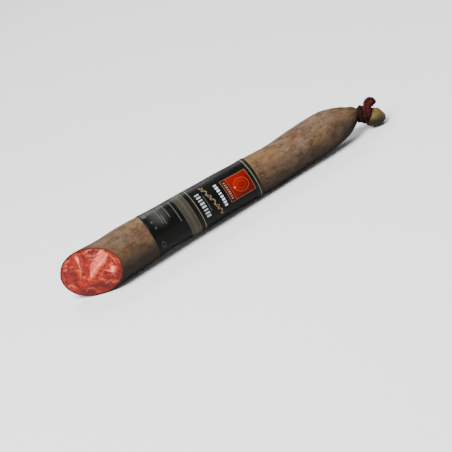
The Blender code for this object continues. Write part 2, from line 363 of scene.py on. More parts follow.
def cut_along(angle):
    """Place along where the skin meets the knife plane: step on by the distance that is left, a few times."""
    along = np.zeros_like(angle)
    for _ in range(CUT_STEPS):
        along = along + (casing_point(along, angle) - MIDDLE) @ OUT / -OUT[0]
    return along


around = np.linspace(-math.pi / 2, 1.5 * math.pi, CASING_AROUND, endpoint=False)
edge_along = cut_along(around)
edge = casing_point(edge_along, around)
print("the cut runs, in mm along, from and to", np.round([edge_along.min() * 1e3, edge_along.max() * 1e3], 1))

# %% Build the casing
RECESS = 0.008
CUT_RINGS, UNDER_RINGS, BELLY_RINGS, NECK_RINGS, BULB_RINGS = 118, 12, 176, 26, 34


def spaced(start, end, rows):
    """Evenly spaced places from a start up to an end, which is left for the next stretch."""
    return np.linspace(start, end, rows, endpoint=False)


def skin_rings():
    """Rings of the skin, each place along = start x (1 - share) + end x share, from the cut to the tip."""
    share = spaced(0.0, 1.0, CUT_RINGS)[1:, None]
    first = edge_along[None, :] * (1 - share) + BAND_START * share
    under = spaced(BAND_START, BAND_END, UNDER_RINGS)
    belly = spaced(BAND_END, BODY[-1][0], BELLY_RINGS)
    neck = spaced(BODY[-1][0], NECK_END, NECK_RINGS)
    bulb = NECK_END + BULB[-1][0] * np.sin(spaced(0.0, math.pi / 2 - 0.12, BULB_RINGS))
    rest = np.repeat(np.concatenate([under, belly, neck, bulb])[:, None], CASING_AROUND, axis=1)
    return np.vstack([first, rest])


along_grid = skin_rings()
angle_grid = np.broadcast_to(around, along_grid.shape)
outer = casing_point(along_grid.ravel(), angle_grid.ravel()).reshape(*along_grid.shape, 3)
inset = 1 - CASING_THICKNESS / BODY[1][1]
# The lip from the bottom of the recess to the skin: (share of the thickness in from the skin, step outwards)
lip_steps = ((1.0, -0.00015), (0.6, 0.00008), (0.25, 0.00004))
lip = [MIDDLE + (edge - MIDDLE) * inset + (RECESS, 0.0, 0.0)]
lip += [MIDDLE + (edge - MIDDLE) * (1 - depth * (1 - inset)) + OUT * step for depth, step in lip_steps]
lip = np.stack(lip + [edge])
casing_points, casing_faces = capped_rings(np.concatenate([lip, outer]))
casing = new_piece("casing", casing_points, casing_faces, "sausage")
print("casing:", len(casing_faces), "faces")

# %% [markdown]
# Colours for the casing
#
# Up close the skin isn't one brown: it is a greyish tan bloom over warmer meat, with ochre, mauve and
# rusty patches a few centimetres long and fine speckle, with painted shade on its underside. The big
# patches are put where they belong, as numbers on the points. The small ones are noise in the material.

# %% Listed patches
SKIN_RADIUS_MM = 23.5


def spot(along, angle, centre, degrees, length, width):
    """Soft round patch: a bell along x a bell around, sizes in mm."""
    turn = (angle - math.radians(degrees) + math.pi) % (2 * math.pi) - math.pi
    return bell(along - centre / 1000, length / 1000) * bell(turn * SKIN_RADIUS_MM, width)


# (place along in mm, angle in degrees, length, width, strength)
OCHRE_PATCHES = (
    (225, 124, 15, 9, 1.0), (210, 108, 14, 8, 0.8), (286, 168, 10, 6, 0.5), (35, 163, 9, 6, 0.8),
    (32, 112, 7, 4, 0.7), (55, 110, 12, 8, 0.5), (333, 140, 6, 6, 0.7), (45, 85, 20, 9, 0.4),
    (120, 20, 30, 15, 0.5), (290, 60, 20, 12, 0.6), (230, 330, 25, 14, 0.5), (30, 330, 15, 12, 0.6),
)
RUST_PATCHES = (
    (265, 116, 6, 4, 0.9), (220, 166, 5, 4, 0.7), (250, 130, 8, 5, 0.5), (318, 128, 9, 6, 0.5),
    (62, 150, 9, 7, 0.5), (305, 160, 8, 5, 0.4), (275, 30, 9, 6, 0.7), (50, 30, 10, 7, 0.6),
    (240, 290, 12, 8, 0.5), (300, 250, 10, 7, 0.4),
)
MAUVE_PATCHES = (
    (237, 162, 12, 8, 0.8), (277, 125, 9, 6, 0.8), (312, 134, 10, 8, 0.8), (215, 150, 8, 6, 0.6),
    (335, 160, 6, 5, 0.7), (50, 140, 9, 6, 0.6), (40, 60, 18, 10, 0.6), (255, 60, 15, 9, 0.7),
    (285, 300, 15, 9, 0.6), (60, 250, 15, 9, 0.5),
)
PALE_PATCHES = (
    (262, 156, 8, 2.5, 0.9), (303, 135, 5, 3, 0.7), (293, 118, 14, 5, 0.5), (245, 145, 10, 4, 0.4),
    (38, 130, 12, 4, 0.5), (20, 150, 8, 4, 0.4), (300, 20, 20, 8, 0.5), (60, 300, 20, 8, 0.4),
)


def patches(rows, along, angle):
    """Sum of soft spots, each x its strength."""
    return sum(row[4] * spot(along, angle, *row[:4]) for row in rows)


rings = len(lip) + len(along_grid)
lip_along = np.broadcast_to(edge_along, (len(lip), CASING_AROUND))
point_along = np.append(np.vstack([lip_along, along_grid]), [0.0, NECK_END + BULB[-1][0]])
point_angle = np.append(np.broadcast_to(around, (rings, CASING_AROUND)), [0.0, 0.0])
for name, rows in (("ochre", OCHRE_PATCHES), ("rust", RUST_PATCHES), ("mauve", MAUVE_PATCHES),
                   ("pale", PALE_PATCHES)):
    give_values(casing, name, patches(rows, point_along, point_angle))
    print(len(rows), "patches of", name)

# %% Painted shade, stain, bulb and lip
TAPER_MIDDLE = 0.322
STAIN_ANGLE = math.radians(122)
# Painted shade: darker low down, most on the front, in the folds by the string, where the taper turns under,
# and near the cut
low_shade = ramp(0.62 + 0.55 * ramp(point_along - NECK_END, 0.006) - np.sin(point_angle), 1.25)
frontness = 0.68 + 0.32 * np.clip(-np.cos(point_angle) * 3, -1.0, 1.0)
fold_shade = 0.22 * bell(point_along - NECK_START, 0.009)
turned_under_shade = 0.2 * bell(point_along - TAPER_MIDDLE, 0.012) * ramp(0.5 - np.sin(point_angle), 0.4)
near_cut_shade = 0.22 * ramp(BAND_START + 0.02 - point_along, 0.04)
shade = 0.93 * low_shade * frontness + fold_shade + near_cut_shade + turned_under_shade
# Stored on the points as painted shade, 0 to 0.95
give_values(casing, "under", np.clip(shade, 0.0, 0.95))
# Red fat has soaked into the casing beside the cut, most at its top
beside_cut = np.exp(-(point_along - np.append(np.tile(edge_along, rings), [0.0, 0.0])) / 0.003)
give_values(casing, "stain", beside_cut * bell(point_angle - STAIN_ANGLE, 0.75))
give_values(casing, "bulb", ramp(point_along - NECK_START + 0.002, 0.012))
is_lip = np.zeros(len(casing_points))
is_lip[:len(lip) * CASING_AROUND] = 1.0
is_lip[(len(lip) - 1) * CASING_AROUND:len(lip) * CASING_AROUND] = 0.6
give_values(casing, "lip", is_lip)
print("shade runs from", round(shade.min(), 2), "to", round(shade.max(), 2))

# %% [markdown]
# Building materials from nodes
#
# A material here is a small net of nodes. Written out one link at a time it would fill pages, so a few
# helpers add a node, join it up and hand back its output. Colours are given as they look on a screen, 0 to
# 255, and changed to the linear light that the shader works in.

# %% Node helpers
def light(red, green, blue):
    """Linear colour of a screen colour: ((c + 0.055) / 1.055)^2.4 for all but the darkest."""
    shares = np.array((red, green, blue)) / 255
    linear = np.where(shares <= 0.04045, shares / 12.92, ((shares + 0.055) / 1.055) ** 2.4)
    return (*linear.tolist(), 1.0)


def node(tree, kind, inputs=(), **settings):
    """Adds a node with its settings; each input is a number, a colour or another node's output."""
    made = tree.nodes.new(kind)
    for key, value in settings.items():
        setattr(made, key, value)
    for key, value in dict(inputs).items():
        if isinstance(value, bpy.types.NodeSocket):
            tree.links.new(value, made.inputs[key])
        else:
            made.inputs[key].default_value = value
    return made


def calc(tree, operation, first, second=0.0, third=0.0, clamp=False):
    """Output of a Math node; MULTIPLY_ADD is first x second + third."""
    inputs = {0: first, 1: second, 2: third}
    return node(tree, "ShaderNodeMath", inputs, operation=operation, use_clamp=clamp).outputs[0]


def times(tree, first, second, clamp=False):
    """Product of two values."""
    return calc(tree, "MULTIPLY", first, second, clamp=clamp)


def rise(tree, value, low, high):
    """Zero below low, one above high, and a smooth 3t^2 - 2t^3 between."""
    inputs = {0: value, 1: low, 2: high}
    return node(tree, "ShaderNodeMapRange", inputs, interpolation_type="SMOOTHSTEP").outputs[0]


def mix(tree, share, first, second):
    """Colour that goes from the first to the second by its share."""
    inputs = {0: share, 6: first, 7: second}
    return node(tree, "ShaderNodeMix", inputs, data_type="RGBA").outputs[2]


def lay(tree, colour, coats):
    """Colour after each coat, a share and its colour, is laid over the colour so far."""
    for share, coat in coats:
        colour = mix(tree, share, colour, coat)
    return colour


def value_of(tree, name):
    """Number stored on the mesh's points."""
    return node(tree, "ShaderNodeAttribute", attribute_name=name).outputs["Fac"]


def grain(tree, where, scale, detail=4.0, stretch=(1.0, 1.0, 1.0), warp=0.0):
    """Noise at so many cells for each unit of the place, drawn out along an axis by its stretch."""
    placed = node(tree, "ShaderNodeMapping", {"Vector": where, "Scale": stretch}).outputs[0]
    inputs = {"Vector": placed, "Scale": scale, "Detail": detail, "Roughness": 0.55, "Distortion": warp}
    return node(tree, "ShaderNodeTexNoise", inputs).outputs[0]


def begin(name, roughness, specular):
    """New material: its node tree, its shader and where we are on the object."""
    material = bpy.data.materials.new(name)
    material.use_nodes = True
    tree = material.node_tree
    shader = tree.nodes["Principled BSDF"]
    shader.inputs["Roughness"].default_value = roughness
    shader.inputs["Specular IOR Level"].default_value = specular
    where = node(tree, "ShaderNodeTexCoord").outputs["Object"]
    return material, tree, shader, where


def bump(tree, shader, height, distance, strength):
    """Small relief too fine for the mesh, distance metres high."""
    made = node(tree, "ShaderNodeBump", {"Height": height, "Distance": distance, "Strength": strength})
    tree.links.new(made.outputs[0], shader.inputs["Normal"])


print("node helpers ready")

# %% Casing material
def casing_material():
    """Tan bloom over brown, mottled at three scales, then patches, the bulb, the stain and painted shade."""
    material, tree, shader, where = begin("dry_casing", 0.62, 0.15)
    broad = grain(tree, where, 45, 3, warp=0.6)
    middle = grain(tree, where, 170, 4, (0.6, 1.0, 1.0), warp=0.4)
    fine = grain(tree, where, 620, 5, (0.5, 1.0, 1.0))
    speckle = grain(tree, where, 2200, 2)
    colour = mix(tree, rise(tree, broad, 0.38, 0.62), light(99, 75, 53), light(75, 54, 37))
    coats = [
        (times(tree, rise(tree, middle, 0.46, 0.68), 0.8), light(112, 92, 70)),
        (times(tree, rise(tree, middle, 0.50, 0.34), 0.75), light(64, 45, 32)),
    ]
    for name, tint in (("ochre", light(112, 81, 42)), ("rust", light(100, 54, 32)),
                       ("mauve", light(82, 57, 52)), ("pale", light(120, 103, 87))):
        uneven = times(tree, value_of(tree, name), rise(tree, fine, 0.3, 0.62))
        coats.append((times(tree, uneven, 0.85, clamp=True), tint))
    ends = mix(tree, rise(tree, middle, 0.35, 0.65), light(104, 84, 44), light(126, 104, 57))
    blotchy = calc(tree, "MULTIPLY_ADD", middle, 0.9, 0.35)
    coats += [
        # Flecks and pits, the bulb of bare casing, the stain, painted shade and the lip
        (times(tree, rise(tree, fine, 0.55, 0.70), 0.6), light(124, 107, 86)),
        (times(tree, rise(tree, speckle, 0.46, 0.3), 0.65), light(54, 39, 27)),
        (times(tree, value_of(tree, "bulb"), 0.85), ends),
        (times(tree, value_of(tree, "stain"), blotchy, clamp=True), light(96, 32, 24)),
        # Painted shade: near black low down, on the front, in the folds and near the cut
        (value_of(tree, "under"), light(15, 11, 7)),
        (value_of(tree, "lip"), light(56, 24, 18)),
    ]
    colour = lay(tree, colour, coats)
    tree.links.new(colour, shader.inputs["Base Color"])
    tree.links.new(calc(tree, "MULTIPLY_ADD", fine, 0.25, 0.55), shader.inputs["Roughness"])
    height = calc(tree, "ADD", times(tree, fine, 0.7), times(tree, speckle, 0.3))
    bump(tree, shader, height, 0.00035, 0.8)
    return material


casing.data.materials.append(casing_material())
print("casing material:", len(casing.data.materials[0].node_tree.nodes), "nodes")

# %% [markdown]
# The cut face
#
# The knife shows coarse-chopped cured meat: red lean, paprika-orange crumb, pale fat in streaks and lumps,
# and a few darker, purplish pieces of lean. Random noise alone never looks like one real slice, so the
# large pieces are laid out one by one as strokes on the face, and noise breaks up their edges.

# %% Grid of points on the face
FACE_AROUND = 420
FACE_RINGS = 112
face_angle = np.linspace(-math.pi / 2, 1.5 * math.pi, FACE_AROUND, endpoint=False)
face_edge = casing_point(cut_along(face_angle), face_angle)
rim = MIDDLE + (face_edge - MIDDLE) * (inset + 0.0008)
share = np.linspace(0.0, 1.0, FACE_RINGS + 1)[1:, None, None]
flat_face = MIDDLE + (rim[None] - MIDDLE) * share
to_rim = (1 - share[..., 0]) * np.linalg.norm(rim - MIDDLE, axis=1)[None, :] * 1000
right = (flat_face - MIDDLE) @ FACE_RIGHT * 1000
up = (flat_face - MIDDLE) @ FACE_UP * 1000
print("the face is", round(np.ptp(right), 1), "mm wide and", round(np.ptp(up), 1), "mm high")

# %% Pieces of fat and lean, as strokes
# Each stroke: (mm to the right of the middle, mm up, half width in mm) along its spine.
FAT = (
    ((23.6, 20.7, 1.1), (23.3, 18.7, 3.1), (21.8, 16.0, 5.2), (18.1, 11.1, 5.7), (11.1, 7.1, 5.2),
     (4.6, 3.0, 4.6), (0.1, -1.7, 3.5), (-2.7, -5.1, 2.0)),
    ((-9.8, 22.7, 1.4), (-9.6, 19.5, 2.9), (-9.8, 16.1, 2.6), (-10.4, 12.1, 1.6), (-11.2, 7.7, 1.1),
     (-12.2, 4.4, 0.9), (-14.9, -0.8, 0.6), (-16.6, -3.3, 0.4)),
    ((14.9, -1.7, 0.5), (18.1, -2.7, 1.1), (21.0, -4.1, 1.9), (23.7, -4.3, 3.5), (26.1, -2.0, 3.8),
     (25.6, 1.1, 2.3)),
    ((0.9, 22.1, 0.5), (5.2, 22.7, 0.9), (9.8, 24.3, 0.7), (15.4, 25.0, 0.8)),
    ((3.4, 13.4, 0.4), (7.5, 12.7, 0.6), (11.5, 11.0, 0.5)),
    ((-25.0, 17.1, 0.7), (-22.0, 18.0, 1.1)),
    ((-29.1, 14.1, 0.6), (-26.3, 14.6, 0.8)),
    ((-18.2, 5.2, 0.4), (-14.5, 5.7, 1.1)),
    ((-31.8, 9.0, 0.5), (-27.9, 8.9, 0.9)),
    ((-16.2, -19.4, 0.3), (-12.2, -17.8, 0.5), (-8.5, -18.0, 0.5), (-5.6, -20.7, 0.5), (-5.8, -23.1, 0.3)),
    ((-5.3, -22.8, 0.7), (-2.7, -24.4, 0.7)),
    ((18.9, -16.7, 0.7), (22.3, -17.3, 1.0), (26.5, -16.6, 0.7)),
    ((9.8, -16.5, 0.4), (15.2, -15.6, 0.6), (18.7, -14.5, 0.5)),
    ((6.1, -11.4, 0.5), (10.4, -11.5, 0.7), (11.3, -13.6, 0.5)),
    ((28.1, 14.4, 0.5), (30.8, 11.3, 0.7), (32.5, 7.5, 0.5)),
    ((23.7, 2.8, 0.6), (27.8, 3.5, 1.0)),
    ((-35.3, -9.1, 0.7), (-31.0, -9.1, 1.0), (-27.6, -11.2, 0.9), (-26.1, -13.4, 0.5)),
    ((-13.2, -3.0, 0.6), (-9.6, -3.2, 0.9)),
    ((-7.1, -6.9, 0.7), (-3.7, -8.1, 0.7)),
    ((-22.5, 10.6, 0.4), (-19.4, 11.5, 0.5)),
    ((34.9, 8.5, 0.5), (36.8, 5.1, 0.7)),
)
MAUVE = (
    ((0.8, 19.1, 1.4), (5.8, 17.8, 2.4), (9.4, 16.4, 2.2), (13.5, 17.8, 1.4)),
    ((-4.1, 20.4, 0.5), (-5.4, 13.7, 1.1), (-7.8, 8.5, 1.0), (-9.3, 4.2, 0.6)),
    ((17.4, 22.9, 1.4), (20.6, 24.9, 1.4), (23.5, 22.9, 1.5)),
    ((-26.0, 17.6, 1.1), (-23.1, 19.5, 0.9)),
    ((24.7, -11.5, 1.3), (21.9, -9.6, 1.7)),
)
LEAN = (
    ((-27.3, 5.3, 1.5), (-24.1, 2.7, 3.2), (-21.6, -0.3, 2.4)),
    ((-10.3, -14.3, 1.3), (-2.9, -15.6, 2.4), (4.2, -16.3, 3.2), (10.9, -19.1, 3.2), (13.9, -21.7, 2.1)),
    ((-23.7, -15.7, 1.3), (-19.2, -19.3, 2.6), (-13.2, -22.2, 2.6), (-7.8, -23.9, 1.7)),
    ((35.3, -1.4, 1.6), (35.8, -5.6, 2.4), (31.4, -9.1, 2.4), (27.1, -11.5, 1.5)),
    ((-33.3, 7.4, 0.7), (-33.3, 3.3, 1.3), (-32.8, -0.0, 0.9)),
    ((10.8, -9.7, 0.7), (15.4, -10.3, 1.4), (19.5, -12.5, 1.5)),
    ((4.0, 20.5, 0.5), (9.7, 21.9, 1.0), (14.7, 21.9, 0.7)),
    ((-28.2, -3.9, 0.6), (-24.4, -5.1, 1.0), (-21.1, -5.1, 0.6)),
    ((-4.5, 8.9, 0.6), (-2.9, 13.1, 0.9), (-0.2, 14.7, 0.6)),
    ((-24.2, 13.3, 0.6), (-18.9, 13.7, 0.9), (-16.7, 12.0, 0.6)),
)
CRUMB = (
    ((1.3, 11.4, 1.9), (-1.4, 8.9, 2.6), (-2.0, 5.9, 1.4)),
    ((-2.2, -5.8, 3.0), (6.0, -4.4, 4.0), (12.0, -2.4, 2.4), (6.1, -9.1, 2.6)),
    ((-11.3, -4.1, 2.1), (-6.8, -7.5, 2.6), (-1.3, -9.0, 2.4)),
    ((-32.4, -11.8, 1.3), (-29.2, -14.3, 1.8), (-24.8, -15.4, 1.4)),
    ((-19.5, 22.1, 1.4), (-14.3, 22.5, 1.4), (-6.3, 23.3, 1.3), (-1.4, 21.3, 1.6)),
    ((8.7, 24.6, 1.5), (13.0, 24.6, 1.7), (15.5, 23.4, 1.0)),
    ((28.4, 10.2, 1.6), (31.4, 6.5, 2.6), (35.0, 2.7, 2.2), (35.8, -0.4, 1.1)),
    ((16.9, 2.2, 1.9), (20.7, 2.3, 1.6)),
    ((-18.2, -7.6, 1.1), (-19.8, -13.1, 1.8), (-14.2, -12.1, 1.6)),
)


def inside_strokes(strokes, x, y):
    """Mm inside the nearest stroke, -6 to 6: its half width there - the distance to its spine."""
    best = np.full(x.shape, -50.0)
    for spine in strokes:
        for (x0, y0, w0), (x1, y1, w1) in zip(spine[:-1], spine[1:]):
            length = (x1 - x0) ** 2 + (y1 - y0) ** 2
            t = np.clip(((x - x0) * (x1 - x0) + (y - y0) * (y1 - y0)) / length, 0.0, 1.0)
            gap = np.hypot(x - x0 - t * (x1 - x0), y - y0 - t * (y1 - y0))
            best = np.maximum(best, w0 + (w1 - w0) * t - gap)
    return np.clip(best, -6.0, 6.0)


print(len(FAT), "pieces of fat,", len(MAUVE + LEAN), "of lean,", len(CRUMB), "of orange crumb")

# %% Build the meat
MEAT_DEPTH = 0.006
# The rest in mm: how far the strokes' edges wander, and the relief
WANDER, SMALL_WANDER = 1.1, 0.35
FAT_PROUD, LEAN_SHRUNK, ROUGH, FINE_ROUGH = 0.10, 0.08, 0.07, 0.04
BACK, BACK_AT_RIM, RIM_REACH = 0.18, 0.22, 0.9
here = np.stack([right, up, np.zeros_like(right)], axis=-1)
wavy_right = right + WANDER * layered(here * 0.22, 41) + SMALL_WANDER * noise(here * 0.9, 47)
wavy_up = up + WANDER * layered(here * 0.22, 51) + SMALL_WANDER * noise(here * 0.9, 57)
fat, mauve, lean, crumb = (inside_strokes(rows, wavy_right, wavy_up) for rows in (FAT, MAUVE, LEAN, CRUMB))
# Fat stands a little proud, lean has shrunk a little, crumb is rough, and the face dries back from its rim.
lift = FAT_PROUD * ramp(fat + 0.5, 1) - LEAN_SHRUNK * ramp(lean + 0.5, 1)
lift += ROUGH * layered(here * 0.5, 61) * (1 + ramp(crumb + 0.5, 1)) + FINE_ROUGH * noise(here * 2.1, 71)
lift -= BACK + BACK_AT_RIM * np.exp(-to_rim / RIM_REACH)
front = flat_face + (lift / 1000)[..., None] * OUT
side = np.stack([rim - OUT * 0.0005, rim + (MEAT_DEPTH, 0.0, 0.0)])
meat_points, meat_faces = capped_rings(np.concatenate([front, side]))
meat = new_piece("cut_meat", meat_points, meat_faces, "sausage")
print("meat:", len(meat_faces), "faces")

# %% Tell the material what is where on the face
PALE = (
    ((-9.9, 19.6, 1.4), (-9.6, 16.6, 1.7), (-10.2, 13.8, 0.9)),
    ((20.8, -4.6, 0.6), (23.7, -4.4, 2.3), (27.5, -1.2, 1.7)),
    ((26.8, 14.3, 0.9), (21.3, 10.9, 1.0), (14.8, 7.1, 1.1), (9.2, 4.1, 1.0), (5.4, 1.6, 0.7)),
    ((14.5, 17.9, 0.7), (18.9, 18.1, 1.0), (22.4, 19.0, 0.9)),
    ((-1.7, -0.7, 1.3), (-2.7, -3.9, 0.9)),
    ((1.6, -0.9, 0.8), (6.5, 2.5, 0.7)),
)


def on_meat(values):
    """Values of the face grid, then of the two side rings and the two poles."""
    return np.concatenate([values.ravel(), values[-1], values[-1], [values[0].mean(), values[-1].mean()]])


for name, values in (("fat", fat), ("mauve", mauve), ("lean", lean), ("crumb", crumb), ("to_rim", to_rim),
                     ("pale", inside_strokes(PALE, wavy_right, wavy_up))):
    give_values(meat, name, on_meat(values))
face_place = np.stack([on_meat(right), on_meat(up), np.zeros(len(meat_points))], axis=-1)
meat.data.attributes.new("face", "FLOAT_VECTOR", "POINT").data.foreach_set("vector", face_place.ravel())
print("values on", len(face_place), "points")

# %% Meat material
def meat_material():
    """Chopped meat as warped cells of reds; then lean, crumb, mauve and fat by their strokes; a dry rim."""
    material, tree, shader, _ = begin("cured_meat", 0.42, 0.15)
    face = node(tree, "ShaderNodeAttribute", attribute_name="face").outputs["Vector"]
    drift = node(tree, "ShaderNodeTexNoise", {"Vector": face, "Scale": 0.3, "Detail": 3.0}).outputs["Color"]
    drifting = {0: drift, 1: (5.0, 5.0, 5.0), 2: face}
    at = node(tree, "ShaderNodeVectorMath", drifting, operation="MULTIPLY_ADD").outputs[0]
    middle = grain(tree, at, 0.55, 4)
    fine = grain(tree, face, 1.9, 4)
    turned = node(tree, "ShaderNodeMapping", {"Vector": at, "Rotation": (0, 0, -0.68)}).outputs[0]
    fibre = grain(tree, turned, 1.0, 3, (0.16, 1.0, 1.0))
    pieces = node(tree, "ShaderNodeTexVoronoi", {"Vector": at, "Scale": 0.26}, voronoi_dimensions="2D")
    kind = node(tree, "ShaderNodeSeparateColor", {0: pieces.outputs["Color"]}).outputs[0]
    colour = mix(tree, rise(tree, kind, 0.15, 0.35), light(104, 20, 15), light(130, 31, 21))
    colour = lay(tree, colour, (
        (rise(tree, kind, 0.45, 0.6), light(140, 39, 27)),
        (rise(tree, kind, 0.7, 0.8), light(120, 33, 28)),
        (rise(tree, kind, 0.88, 0.93), light(90, 21, 21)),
        (times(tree, rise(tree, middle, 0.56, 0.68), 0.6), light(154, 53, 37)),
        (times(tree, rise(tree, middle, 0.43, 0.32), 0.7), light(82, 16, 12)),
    ))
    ragged = calc(tree, "MULTIPLY_ADD", middle, 2.6, -1.3)
    ragged = calc(tree, "ADD", ragged, calc(tree, "MULTIPLY_ADD", fine, 1.6, -0.8))

    def part(name, low, high, strength):
        """Share of one kind of piece: its stroke's depth, made ragged by noise, from low to high mm."""
        depth = calc(tree, "ADD", value_of(tree, name), ragged)
        return times(tree, rise(tree, depth, low, high), strength)

    grains = node(tree, "ShaderNodeTexVoronoi", {"Vector": at, "Scale": 0.6}, voronoi_dimensions="2D")
    grain_kind = node(tree, "ShaderNodeSeparateColor", {0: grains.outputs["Color"]}).outputs[1]
    crumb_colour = mix(tree, rise(tree, grain_kind, 0.1, 0.5), light(108, 16, 8), light(156, 41, 22))
    crumb_colour = mix(tree, rise(tree, grain_kind, 0.6, 0.95), crumb_colour, light(186, 68, 44))
    lean_colour = mix(tree, rise(tree, fibre, 0.35, 0.65), light(70, 16, 18), light(98, 33, 32))
    mauve_colour = mix(tree, rise(tree, fibre, 0.35, 0.65), light(138, 56, 50), light(174, 94, 84))
    fat_colour = mix(tree, rise(tree, fibre, 0.40, 0.60), light(184, 69, 50), light(242, 118, 92))
    streaks = rise(tree, grain(tree, turned, 0.42, 2, (0.14, 1.0, 1.0)), 0.50, 0.62)
    fat_colour = mix(tree, times(tree, streaks, 0.6), fat_colour, light(172, 74, 62))
    # Painted shade: the face darkens towards its bottom
    low = rise(tree, node(tree, "ShaderNodeSeparateXYZ", {0: face}).outputs[1], -8.0, -25.0)
    colour = lay(tree, colour, (
        (part("lean", -0.7, 1.0, 0.85), lean_colour),
        (part("crumb", -0.6, 1.0, 0.85), crumb_colour),
        (part("mauve", -0.4, 1.6, 0.75), mauve_colour),
        # Fat with a redder edge, then its palest places
        (part("fat", -1.2, 0.3, 0.5), light(190, 72, 50)),
        (part("fat", -0.5, 1.9, 0.92), fat_colour),
        (part("pale", -0.6, 1.5, 0.85), light(255, 151, 115)),
        # Pits, painted shade towards the bottom, and the dry rim
        (times(tree, rise(tree, fine, 0.45, 0.3), 0.4), light(64, 14, 11)),
        (times(tree, low, 0.45), light(52, 13, 12)),
        (times(tree, rise(tree, value_of(tree, "to_rim"), 1.6, 0.1), 0.8), light(62, 22, 17)),
    ))
    tree.links.new(colour, shader.inputs["Base Color"])
    gloss = node(tree, "ShaderNodeMapRange", {0: value_of(tree, "fat"), 1: -0.5, 2: 1.0, 3: 0.5, 4: 0.38})
    tree.links.new(gloss.outputs[0], shader.inputs["Roughness"])
    height = calc(tree, "ADD", times(tree, fine, 0.5), times(tree, fibre, 0.5))
    bump(tree, shader, height, 0.0003, 0.7)
    return material


meat.data.materials.append(meat_material())
print("meat material:", len(meat.data.materials[0].node_tree.nodes), "nodes")

# %% [markdown]
# The paper band
#
# The band is a strip of thin coated paper, printed black, wound once round the sausage and glued where
# its end laps over its start at the back. A plain tube would have no lap and no thickness at its edges,
# so the strip is a grid that goes round by a little more than one turn, with an outer and an inner side.

# %% Shape of the paper
PAPER = 0.00016
AIR = 0.00010
CURL = 0.00008
RIPPLE = 0.00005
SEAM = math.radians(20.0)
LAP = math.radians(19.0)
BAND_ROWS = 110
BAND_COLUMNS = 240


def paper_height(along, angle):
    """Height over the casing: air + lap where it goes over its start + curl at both edges + ripple."""
    near_end = ramp(angle - SEAM - 2 * math.pi + 0.12, 0.12)
    to_edge = np.minimum(along - BAND_START, BAND_END - along)
    curl = CURL * np.exp(-to_edge / 0.0012)
    place = np.stack([along * 90, np.cos(angle) * 2.5, np.sin(angle) * 2.5], axis=-1)
    ripple = RIPPLE * (1 + noise(place, 81))
    return AIR + 1.4 * PAPER * near_end * near_end * (3 - 2 * near_end) + curl + ripple


band_along, band_angle = np.meshgrid(np.linspace(BAND_START, BAND_END, BAND_ROWS),
                                     np.linspace(SEAM, SEAM + 2 * math.pi + LAP, BAND_COLUMNS), indexing="ij")
height = paper_height(band_along.ravel(), band_angle.ravel())
paper_in = skin(band_along.ravel(), band_angle.ravel(), height)
paper_out = skin(band_along.ravel(), band_angle.ravel(), height + PAPER)
print("paper stands", round(height.max() * 1000, 2), "mm off the casing at most")

# %% Two sides and four edges of a sheet
def sheet_faces(rows, columns):
    """Outer faces, inner faces turned round, and a strip of faces along each of the four edges."""
    count = rows * columns
    outer_side = np.array(quads(rows, columns, closed=False))
    faces = [outer_side, outer_side[:, ::-1] + count]
    index = np.arange(count).reshape(rows, columns)
    for border, turned in ((index[0], True), (index[-1], False), (index[:, 0], False), (index[:, -1], True)):
        strip = np.stack([border[:-1], border[1:], border[1:] + count, border[:-1] + count], axis=-1)
        faces.append(strip[:, ::-1] if turned else strip)
    return np.vstack(faces).tolist()


paper = new_piece("paper_band", np.vstack([paper_out, paper_in]), sheet_faces(BAND_ROWS, BAND_COLUMNS),
                  "label")
FRONT_ANGLE = 161.0
PAPER_RADIUS_MM = 23.9
band_place = np.stack([
    (band_along - BAND_START).ravel() * 1000,
    np.radians(np.degrees(band_angle) - FRONT_ANGLE).ravel() * PAPER_RADIUS_MM,
], axis=-1)
print_map = paper.data.uv_layers.new(name="print")
corner = np.empty(len(paper.data.loops), dtype=np.int32)
paper.data.loops.foreach_get("vertex_index", corner)
print_map.uv.foreach_set("vector", np.tile(band_place, (2, 1))[corner].ravel())
give_values(paper, "inside", np.repeat([0.0, 1.0], BAND_ROWS * BAND_COLUMNS))
print("print map in mm:", np.round([band_place.min(axis=0), band_place.max(axis=0)], 1).tolist())

# %% [markdown]
# The print
#
# The band is black with fields of colour and plain shapes: a red panel with a gold edge and a round emblem,
# rows of pale bars, a wavy gold flourish, a linen-like strip, thin lines and, at the back, a framed field of
# fine rows. An image would do it, but shapes worked out from the place in millimetres stay sharp from any
# distance. A shape is a mask from 0 to 1, and each mask lays its ink over the colours so far.

# %% Masks for printed shapes
def stripe(tree, place, centre, size, soft=0.14):
    """One within half the size of the centre and zero beyond, with an edge soft mm wide."""
    off = calc(tree, "ABSOLUTE", calc(tree, "SUBTRACT", place, centre))
    inputs = {0: off, 1: (size - soft) / 2, 2: (size + soft) / 2, 3: 1.0, 4: 0.0}
    return node(tree, "ShaderNodeMapRange", inputs).outputs[0]


def block(tree, x, y, centre, size):
    """Rectangle: a stripe along times a stripe around."""
    return times(tree, stripe(tree, x, centre[0], size[0]), stripe(tree, y, centre[1], size[1]))


def distance(tree, x, y, centre, flat=1.0):
    """Distance from a centre, sqrt(x^2 + (flat y)^2)."""
    run = calc(tree, "SUBTRACT", x, centre[0])
    turn = times(tree, calc(tree, "SUBTRACT", y, centre[1]), flat)
    squares = calc(tree, "ADD", times(tree, run, run), times(tree, turn, turn))
    return calc(tree, "SQRT", squares)


def bars(tree, x, y, centre, size, pitch, seed):
    """Row of plain upright bars: a block cut by gaps, each bar with a width of its own."""
    count = calc(tree, "DIVIDE", y, pitch)
    number = calc(tree, "ADD", calc(tree, "FLOOR", count), seed)
    random = node(tree, "ShaderNodeTexWhiteNoise", {"W": number}, noise_dimensions="1D").outputs[0]
    within = calc(tree, "ABSOLUTE", calc(tree, "SUBTRACT", calc(tree, "FRACT", count), 0.5))
    wide = calc(tree, "MULTIPLY_ADD", random, 0.13, 0.21)
    bar = rise(tree, calc(tree, "SUBTRACT", wide, within), -0.04, 0.04)
    return times(tree, bar, block(tree, x, y, centre, size))


print("mask helpers ready")

